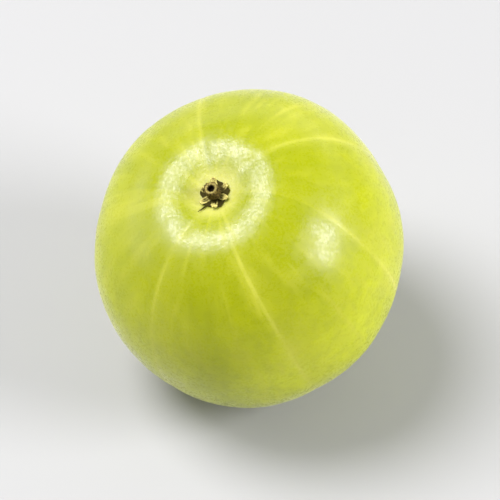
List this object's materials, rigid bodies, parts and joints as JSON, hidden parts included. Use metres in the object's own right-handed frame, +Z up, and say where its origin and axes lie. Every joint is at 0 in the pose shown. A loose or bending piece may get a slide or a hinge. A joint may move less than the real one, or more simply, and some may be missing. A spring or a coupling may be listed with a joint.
{
  "type": "indian gooseberry",
  "caption": "Whole round pale-green Indian gooseberry (amla) lying on its side a little, with shallow lobes, a dried calyx and a short broken stalk.",
  "frame": {"origin": "on the small flat spot that the fruit rests on, straight below the fruit's centre", "axes": "+Z up as the fruit rests; the stem end leans 21.3 degrees from +Z, toward -X and -Y (134.5 degrees clockwise from +X, seen from above)"},
  "size_m": [0.042, 0.0429, 0.0414],
  "materials": {
    "amla_skin": "waxy and a little translucent, yellow-green",
    "dry_sepal": "dry, matt khaki",
    "broken_stalk": "dry, matt dark brown",
    "dry_style": "dry, matt brown"
  },
  "bodies": {
    "root": {"fruit": "amla_skin", "calyx": "dry_sepal", "stalk_stub": "broken_stalk", "style_remnant": "dry_style"}
  },
  "joints": []
}
